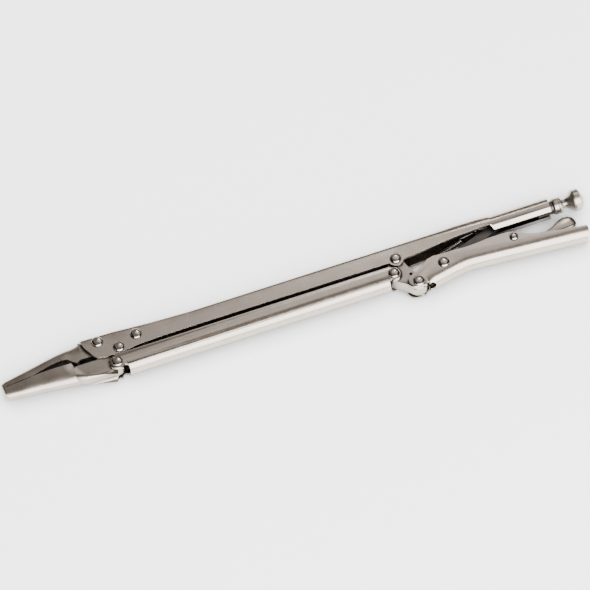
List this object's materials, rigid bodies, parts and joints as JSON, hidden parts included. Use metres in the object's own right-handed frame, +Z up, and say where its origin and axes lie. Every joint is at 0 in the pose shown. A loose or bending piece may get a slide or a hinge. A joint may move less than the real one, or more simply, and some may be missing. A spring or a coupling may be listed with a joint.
{
  "type": "long-reach locking pliers",
  "caption": "Long-reach self-grip pliers: needle-nose jaws on a long channel arm, worked by a movable handle, toggle and adjusting screw at the far end.",
  "frame": {"origin": "bottom centre of the whole tool's box: the plane of the lower rivet heads it lies on, jaws shut and locked", "axes": "+X along the tool from jaw tips to knob, +Y from the movable handle to the fixed arm, +Z up, across the pressed sides and along every pivot"},
  "size_m": [0.4592, 0.0473, 0.0201],
  "materials": {
    "nickel_plate": "bright nickel plate on pressed sheet steel",
    "forged_nickel": "nickel plate on forged and ground steel",
    "bright_nickel": "polished nickel plate on turned steel",
    "spring_steel": "drawn spring wire"
  },
  "bodies": {
    "root": {"upper_channel": "nickel_plate", "upper_jaw": "forged_nickel", "jaw_rivet_front": "bright_nickel", "jaw_rivet_rear": "bright_nickel", "jaw_pivot_rivet": "bright_nickel", "rocker_pivot_rivet": "bright_nickel", "screw_bush": "bright_nickel", "tension_spring": "spring_steel"},
    "lower_jaw": {"lower_jaw": "forged_nickel"},
    "rocker": {"rocker": "forged_nickel", "link_rivet_rear": "bright_nickel", "handle_pivot_rivet": "bright_nickel"},
    "reach_link": {"reach_link": "nickel_plate", "link_rivet_front": "bright_nickel"},
    "handle": {"movable_handle": "nickel_plate", "toggle_rivet": "bright_nickel", "release_rivet": "bright_nickel"},
    "toggle_link": {"toggle_link": "forged_nickel"},
    "release_lever": {"release_lever": "nickel_plate"},
    "adjusting_screw": {"adjusting_screw": "bright_nickel"}
  },
  "joints": [
    {"name": "rocker_pivot", "type": "hinge", "parent": "root", "child": "rocker", "pos_m": [0.07925, 0.0078, 0.01005], "axis": [0, 0, 1], "range_deg": [0, 16], "deforming": ["tension_spring"]},
    {"name": "jaw_pivot", "type": "hinge", "parent": "root", "child": "lower_jaw", "pos_m": [-0.13825, 0.008, 0.01005], "axis": [0, 0, 1], "range_deg": [0, 16]},
    {"name": "reach_link_pivot", "type": "hinge", "parent": "rocker", "child": "reach_link", "pos_m": [0.07375, -0.0037, 0.01005], "axis": [0, 0, 1], "range_deg": [-16, 0]},
    {"name": "handle_pivot", "type": "hinge", "parent": "rocker", "child": "handle", "pos_m": [0.08855, -0.0166, 0.01005], "axis": [0, 0, 1], "range_deg": [-56, 0]},
    {"name": "toggle_pivot", "type": "hinge", "parent": "handle", "child": "toggle_link", "pos_m": [0.11148, -0.00769, 0.01005], "axis": [0, 0, 1], "range_deg": [0, 55.2]},
    {"name": "release_pivot", "type": "hinge", "parent": "handle", "child": "release_lever", "pos_m": [0.16775, -0.0052, 0.01005], "axis": [0, 0, 1], "range_deg": [-5, 0]},
    {"name": "screw_travel", "type": "slide", "parent": "root", "child": "adjusting_screw", "axis": [1, 0, 0], "range_m": [0, 0.012]}
  ],
  "couplings": [
    {"joint": "jaw_pivot", "follows": "rocker_pivot", "ratio": 1},
    {"joint": "reach_link_pivot", "follows": "rocker_pivot", "ratio": -1},
    {"joint": "handle_pivot", "follows": "rocker_pivot", "ratio": -3.5},
    {"joint": "toggle_pivot", "follows": "rocker_pivot", "ratio": 3.45}
  ]
}
